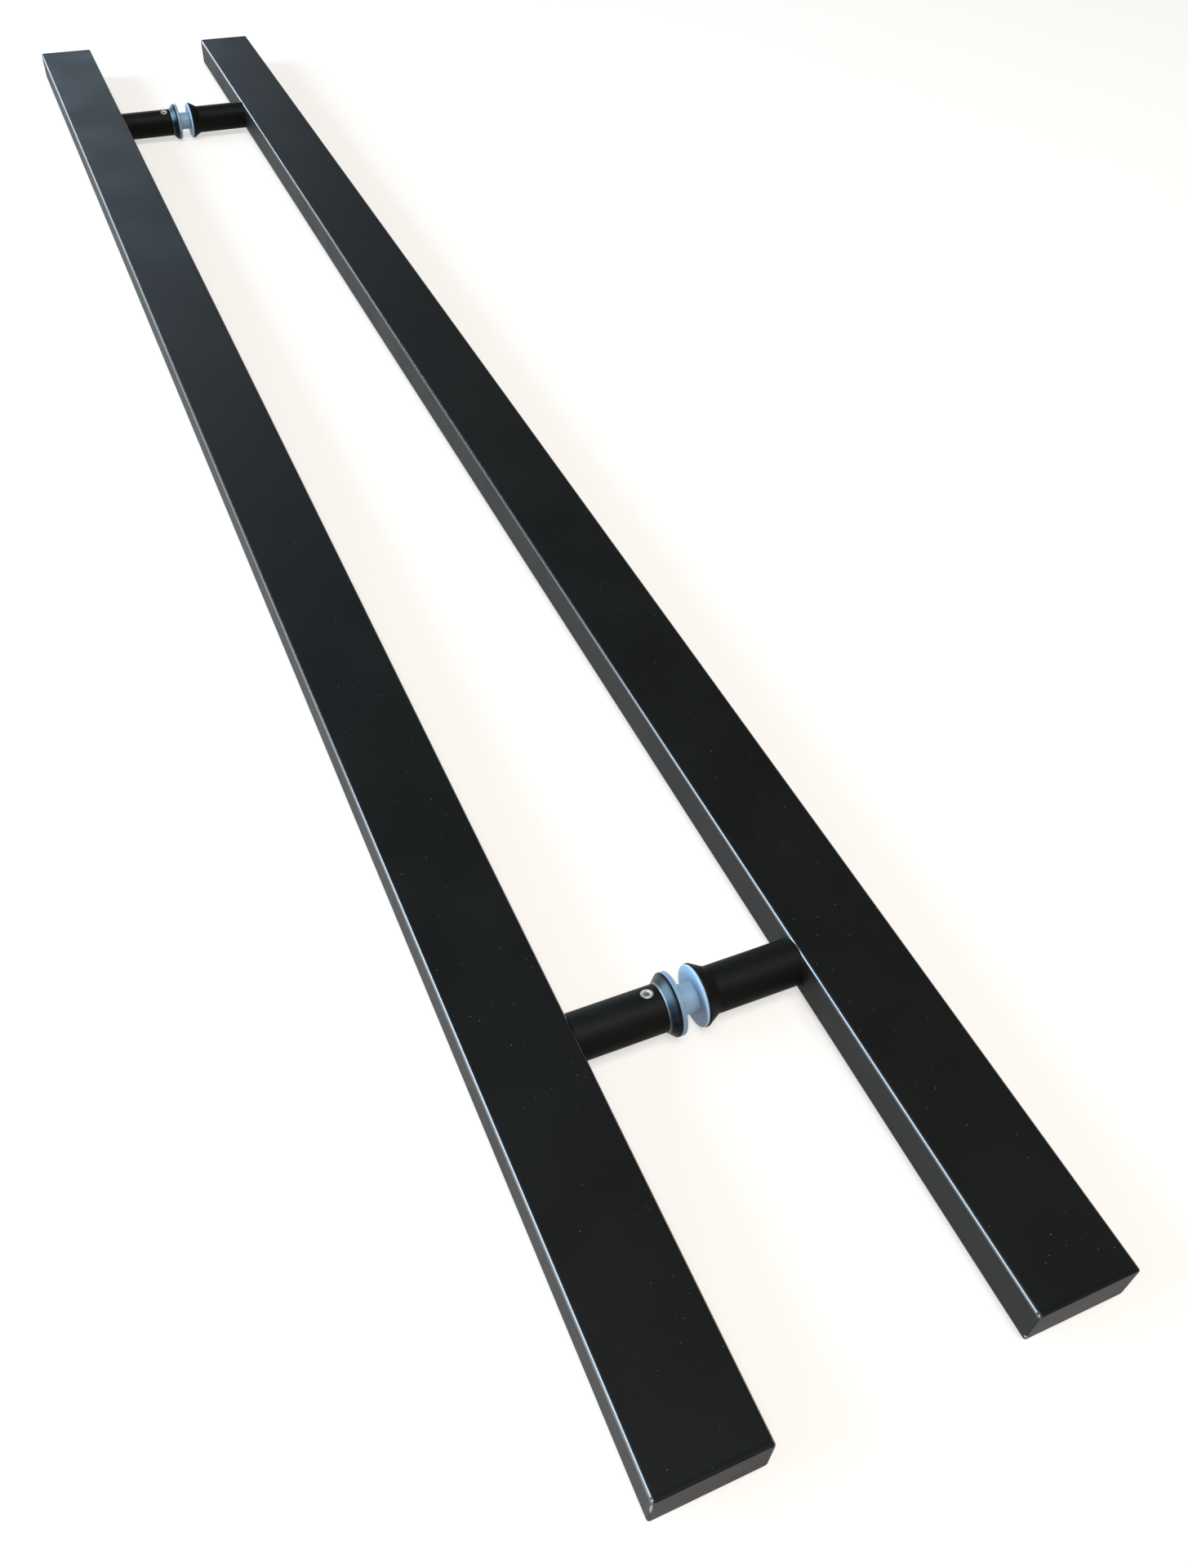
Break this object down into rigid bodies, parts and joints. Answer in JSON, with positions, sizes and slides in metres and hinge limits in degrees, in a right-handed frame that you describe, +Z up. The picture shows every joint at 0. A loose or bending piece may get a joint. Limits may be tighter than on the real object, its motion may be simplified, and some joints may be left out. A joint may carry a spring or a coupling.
{
  "type": "ladder pull handle",
  "caption": "Back-to-back pull handle for a glass door: straight flat black bars on round flared standoffs with pale nylon washers that clamp the pane.",
  "frame": {"origin": "middle of the whole handle: midway between the bars, midway between the two bolt axes, on the plane of the bolt axes", "axes": "+X from the grub-screw bar to the fixed bar, +Y along the bars from the near end to the far end, +Z up out of the wide faces on the grub screws' side, which lean 15 degrees from it towards the middle"},
  "size_m": [0.1732, 1.2, 0.025],
  "materials": {
    "black_coat": "matte black coat on steel, soft sheen",
    "collar_coat": "satin black coat, worn bright at the lip",
    "nylon": "smooth moulded nylon, cool white",
    "screw_steel": "bright plain steel"
  },
  "bodies": {
    "root": {"left_bar": "black_coat", "right_bar": "black_coat", "left_end_cap_near": "black_coat", "left_end_cap_far": "black_coat", "right_end_cap_near": "black_coat", "right_end_cap_far": "black_coat", "left_post_near": "black_coat", "left_post_far": "black_coat", "right_post_near": "black_coat", "right_post_far": "black_coat", "left_collar_near": "collar_coat", "left_collar_far": "collar_coat", "left_ring_near": "nylon", "left_ring_far": "nylon", "right_bush_near": "nylon", "right_bush_far": "nylon", "grub_screw_near": "screw_steel", "grub_screw_far": "screw_steel", "through_bolt_near": "screw_steel", "through_bolt_far": "screw_steel"}
  },
  "joints": []
}
